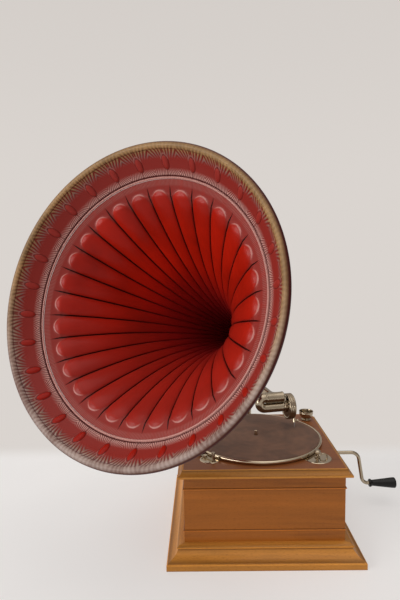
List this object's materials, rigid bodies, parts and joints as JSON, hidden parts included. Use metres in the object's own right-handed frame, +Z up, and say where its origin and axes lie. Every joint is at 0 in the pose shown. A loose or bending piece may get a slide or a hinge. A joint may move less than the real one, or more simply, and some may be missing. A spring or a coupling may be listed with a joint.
{
  "type": "horn gramophone",
  "caption": "Table gramophone with a square wooden case, spring motor, turntable, swinging tone arm with soundbox, side crank and a fluted metal horn with a rolled, embossed rim.",
  "frame": {"origin": "centre of the case's flat underside, on the turntable's axis", "axes": "+Z up along the turntable's spindle, +X to the crank, +Y to the rear bracket, -Y to the front"},
  "size_m": [0.8669, 0.6836, 0.8396],
  "materials": {
    "oak": "varnished, warm mid brown",
    "oak_dark": "plain wood inside, oiled",
    "nickel": "old nickel plate, slightly dull",
    "steel": "turned steel, lightly oiled",
    "iron": "dark enamelled iron",
    "brass": "cut brass",
    "fibre": "laminated fibre, standing in for a fibre gear",
    "lead": "cast lead weights",
    "rubber": "old red rubber",
    "gasket": "aged pale rubber",
    "leather": "brown leather pad",
    "felt": "worn brown felt",
    "mica": "thin mica sheet",
    "ebonised": "black gloss painted wood",
    "horn_red": "deep red lacquer on sheet steel",
    "horn_band": "embossed band, mauve red with gilt edge"
  },
  "bodies": {
    "case": {"plinth": "oak", "front_panel": "oak", "back_panel": "oak", "side_panels": "oak", "case_beads": "oak", "bottom_board": "oak_dark", "deck_board": "oak", "deck_moulding": "oak", "corner_blocks": "oak_dark", "case_screws": "steel", "crank_escutcheon": "nickel", "nickel_screws": "nickel", "motor_top_plate": "iron", "motor_bottom_plate": "iron", "motor_pillars": "steel", "motor_bolts": "steel", "motor_washers": "rubber", "motor_brackets": "iron", "dial_plate": "nickel", "brake_plate": "nickel", "needle_cup": "nickel", "rear_bracket": "nickel"},
    "turntable": {"spindle": "nickel", "governor_wheel": "fibre", "platter": "nickel", "felt_mat": "felt"},
    "intermediate": {"intermediate_arbor": "steel", "intermediate_wheel": "brass"},
    "barrel": {"barrel_drum": "steel", "barrel_cover": "steel", "mainspring": "steel"},
    "winding_arbor": {"barrel_arbor": "steel", "winding_wheel": "brass"},
    "crank": {"crank_rod": "nickel", "winding_shaft": "steel"},
    "grip": {"crank_grip": "ebonised"},
    "governor": {"governor_shaft": "steel", "governor_weights": "lead", "governor_springs": "steel", "governor_disc": "brass"},
    "speed_knob": {"speed_knob": "nickel"},
    "speed_lever": {"speed_lever": "steel"},
    "brake": {"brake_lever": "nickel", "brake_pad": "leather"},
    "tonearm": {"tonearm_collar": "nickel", "tonearm_tube": "nickel", "tonearm_sleeve": "nickel"},
    "gooseneck": {"gooseneck": "nickel", "soundbox_case": "nickel", "soundbox_ring": "nickel", "soundbox_gaskets": "gasket", "diaphragm": "mica", "needle_bar": "nickel", "needle_screw": "nickel", "needle": "steel"},
    "horn": {"horn_elbow": "horn_red", "horn_ferrule": "horn_red", "horn_bell": "horn_red", "horn_rim": "horn_band", "rim_bosses": "horn_band"}
  },
  "joints": [
    {"name": "turntable_spin", "type": "hinge", "parent": "case", "child": "turntable", "pos_m": [0, 0, 0.2045], "axis": [0, 0, 1], "continuous": true},
    {"name": "intermediate_spin", "type": "hinge", "parent": "case", "child": "intermediate", "pos_m": [0.0366, 0.00818, 0.068], "axis": [0, 0, 1], "continuous": true},
    {"name": "barrel_spin", "type": "hinge", "parent": "case", "child": "barrel", "pos_m": [0.045, 0.06, 0.09], "axis": [0, 0, 1], "continuous": true},
    {"name": "governor_spin", "type": "hinge", "parent": "case", "child": "governor", "pos_m": [0, -0.024, 0.118], "axis": [1, 0, 0], "continuous": true},
    {"name": "crank_wind", "type": "hinge", "parent": "case", "child": "crank", "pos_m": [0.16, 0.06, 0.1337], "axis": [1, 0, 0], "continuous": true},
    {"name": "winding_arbor_spin", "type": "hinge", "parent": "case", "child": "winding_arbor", "pos_m": [0.045, 0.06, 0.118], "axis": [0, 0, 1], "continuous": true},
    {"name": "grip_spin", "type": "hinge", "parent": "crank", "child": "grip", "pos_m": [0.32, 0.06, 0.0537], "axis": [1, 0, 0], "continuous": true},
    {"name": "speed_turn", "type": "hinge", "parent": "case", "child": "speed_knob", "pos_m": [0.119, -0.116, 0.1972], "axis": [0, 0, 1], "range_deg": [0, 60]},
    {"name": "speed_lever_turn", "type": "hinge", "parent": "case", "child": "speed_lever", "pos_m": [0.03, -0.092, 0.175], "axis": [0, 0, 1], "range_deg": [0, 1.5]},
    {"name": "brake_turn", "type": "hinge", "parent": "case", "child": "brake", "pos_m": [-0.121, -0.109, 0.1992], "axis": [0, 0, 1], "range_deg": [0, 12]},
    {"name": "tonearm_swing", "type": "hinge", "parent": "case", "child": "tonearm", "pos_m": [0, 0.189, 0.32], "axis": [0, 0, 1], "range_deg": [-21.5, 24]},
    {"name": "gooseneck_flip", "type": "hinge", "parent": "tonearm", "child": "gooseneck", "pos_m": [0.04556, 0.04451, 0.2822], "axis": [0.9744, 0.225, 0], "range_deg": [-150, 0]},
    {"name": "horn_swivel", "type": "hinge", "parent": "case", "child": "horn", "pos_m": [0, 0.189, 0.34], "axis": [0, 0, 1], "range_deg": [-60, 120]}
  ],
  "couplings": [
    {"joint": "intermediate_spin", "follows": "turntable_spin", "ratio": -0.25},
    {"joint": "barrel_spin", "follows": "turntable_spin", "ratio": 0.041667},
    {"joint": "governor_spin", "follows": "turntable_spin", "ratio": 12},
    {"joint": "winding_arbor_spin", "follows": "crank_wind", "ratio": 0.5},
    {"joint": "speed_lever_turn", "follows": "speed_turn", "ratio": 0.025}
  ]
}
